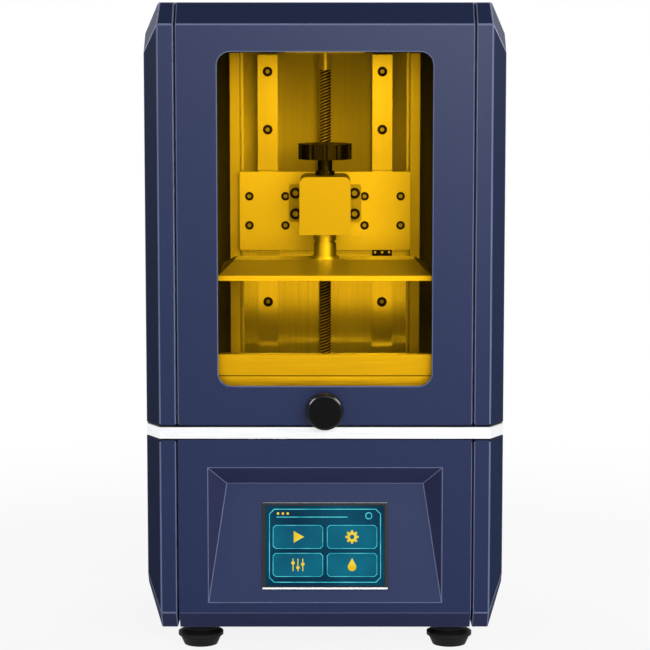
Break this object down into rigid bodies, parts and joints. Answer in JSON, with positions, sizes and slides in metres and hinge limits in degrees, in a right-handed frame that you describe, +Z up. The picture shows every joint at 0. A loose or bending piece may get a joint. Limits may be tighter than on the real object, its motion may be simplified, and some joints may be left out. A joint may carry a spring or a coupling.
{
  "type": "resin printer",
  "caption": "Desktop resin printer: faceted navy cabinet, lift-up door with amber window, screw-driven platform on rails over a resin vat, and a tilted touch screen in the base.",
  "frame": {"origin": "on the floor, under the middle of the overall box", "axes": "+Z up, -Y out of the door, +X to the right as the door is faced"},
  "size_m": [0.22, 0.2152, 0.4],
  "materials": {
    "navy_paint": "satin slate-navy powder coat",
    "dark_paint": "matt dark grey powder coat",
    "satin_aluminium": "satin anodised",
    "rail_steel": "ground steel",
    "black_steel": "black oxide",
    "black_rubber": "matt black rubber",
    "black_plastic": "fine-grained black plastic",
    "amber_acrylic": "clear amber acrylic",
    "screen_glass": "lit touch screen",
    "mask_glass": "dark mask screen",
    "clear_film": "clear film",
    "clear_lens": "clear moulded lens",
    "green_board": "solder-masked board",
    "white_board": "white-coated metal board",
    "white_plastic": "natural plastic"
  },
  "bodies": {
    "housing": {"base_front_panel": "navy_paint", "base_side_left": "navy_paint", "base_side_right": "navy_paint", "base_back_panel": "navy_paint", "base_bottom_plate": "dark_paint", "corner_posts": "satin_aluminium", "feet": "black_rubber", "deck_plate": "satin_aluminium", "hood_seal": "black_rubber", "hood_side_left": "navy_paint", "hood_side_right": "navy_paint", "hood_back_panel": "navy_paint", "hinge_fixed_leaf": "dark_paint", "hinge_pin": "rail_steel", "screen_bezel": "black_plastic", "touch_screen": "screen_glass", "screen_board": "green_board", "lcd_panel": "mask_glass", "lens_plate": "clear_lens", "led_board": "white_board", "heat_sink": "satin_aluminium", "mainboard": "green_board", "z_motor": "dark_paint", "tower": "satin_aluminium", "tower_cap": "satin_aluminium", "screw_bearing": "rail_steel", "rail_left": "rail_steel", "rail_right": "rail_steel", "rail_screws": "black_steel", "vat_body": "satin_aluminium", "vat_film": "clear_film", "film_ring": "satin_aluminium", "vat_brackets": "black_steel", "fan_frame": "black_plastic", "power_inlet": "black_plastic", "switch_housing": "black_plastic", "usb_socket": "rail_steel"},
    "door": {"door_shell": "navy_paint", "window_pane": "amber_acrylic", "window_gasket": "black_rubber", "door_knob": "black_plastic", "hinge_door_leaf": "dark_paint"},
    "carriage": {"carriage_left": "rail_steel", "carriage_right": "rail_steel", "carriage_plate": "satin_aluminium", "carriage_screws": "black_steel", "arm_bracket": "satin_aluminium", "bracket_screws": "black_steel", "lead_nut": "white_plastic", "clamp_block": "satin_aluminium", "platform_stem": "satin_aluminium", "build_platform": "satin_aluminium"},
    "clamp_knob": {"clamp_knob": "black_plastic"},
    "lead_screw": {"lead_screw": "rail_steel", "shaft_coupler": "satin_aluminium", "motor_shaft": "rail_steel"},
    "thumb_screw_left": {"thumb_screw_left": "black_plastic"},
    "thumb_screw_right": {"thumb_screw_right": "black_plastic"},
    "power_rocker": {"power_rocker": "black_plastic"},
    "fan_rotor": {"fan_rotor": "black_plastic"}
  },
  "joints": [
    {"name": "door_hinge", "type": "hinge", "parent": "housing", "child": "door", "pos_m": [0, 0.0704, 0.396], "axis": [-1, 0, 0], "range_deg": [0, 75]},
    {"name": "z_slide", "type": "slide", "parent": "housing", "child": "carriage", "axis": [0, 0, 1], "range_m": [-0.084, 0.074]},
    {"name": "lead_screw_spin", "type": "hinge", "parent": "housing", "child": "lead_screw", "pos_m": [0, 0.0384, 0.2], "axis": [0, 0, 1], "range_deg": [-3335, 3785]},
    {"name": "clamp_knob_turn", "type": "hinge", "parent": "carriage", "child": "clamp_knob", "pos_m": [0, -0.0356, 0.2926], "axis": [0, 0, 1], "range_deg": [0, 1080]},
    {"name": "thumb_screw_left_turn", "type": "hinge", "parent": "housing", "child": "thumb_screw_left", "pos_m": [-0.0888, -0.0356, 0.1457], "axis": [0, 0, 1], "range_deg": [0, 1080]},
    {"name": "thumb_screw_right_turn", "type": "hinge", "parent": "housing", "child": "thumb_screw_right", "pos_m": [0.0888, -0.0356, 0.1457], "axis": [0, 0, 1], "range_deg": [0, 1080]},
    {"name": "power_switch", "type": "hinge", "parent": "housing", "child": "power_rocker", "pos_m": [0.058, 0.1034, 0.073], "axis": [-1, 0, 0], "range_deg": [0, 16]},
    {"name": "fan_spin", "type": "hinge", "parent": "housing", "child": "fan_rotor", "pos_m": [-0.04, 0.0949, 0.081], "axis": [0, 1, 0], "continuous": true}
  ],
  "couplings": [
    {"joint": "lead_screw_spin", "follows": "z_slide", "rad_per_m": -785.4}
  ]
}
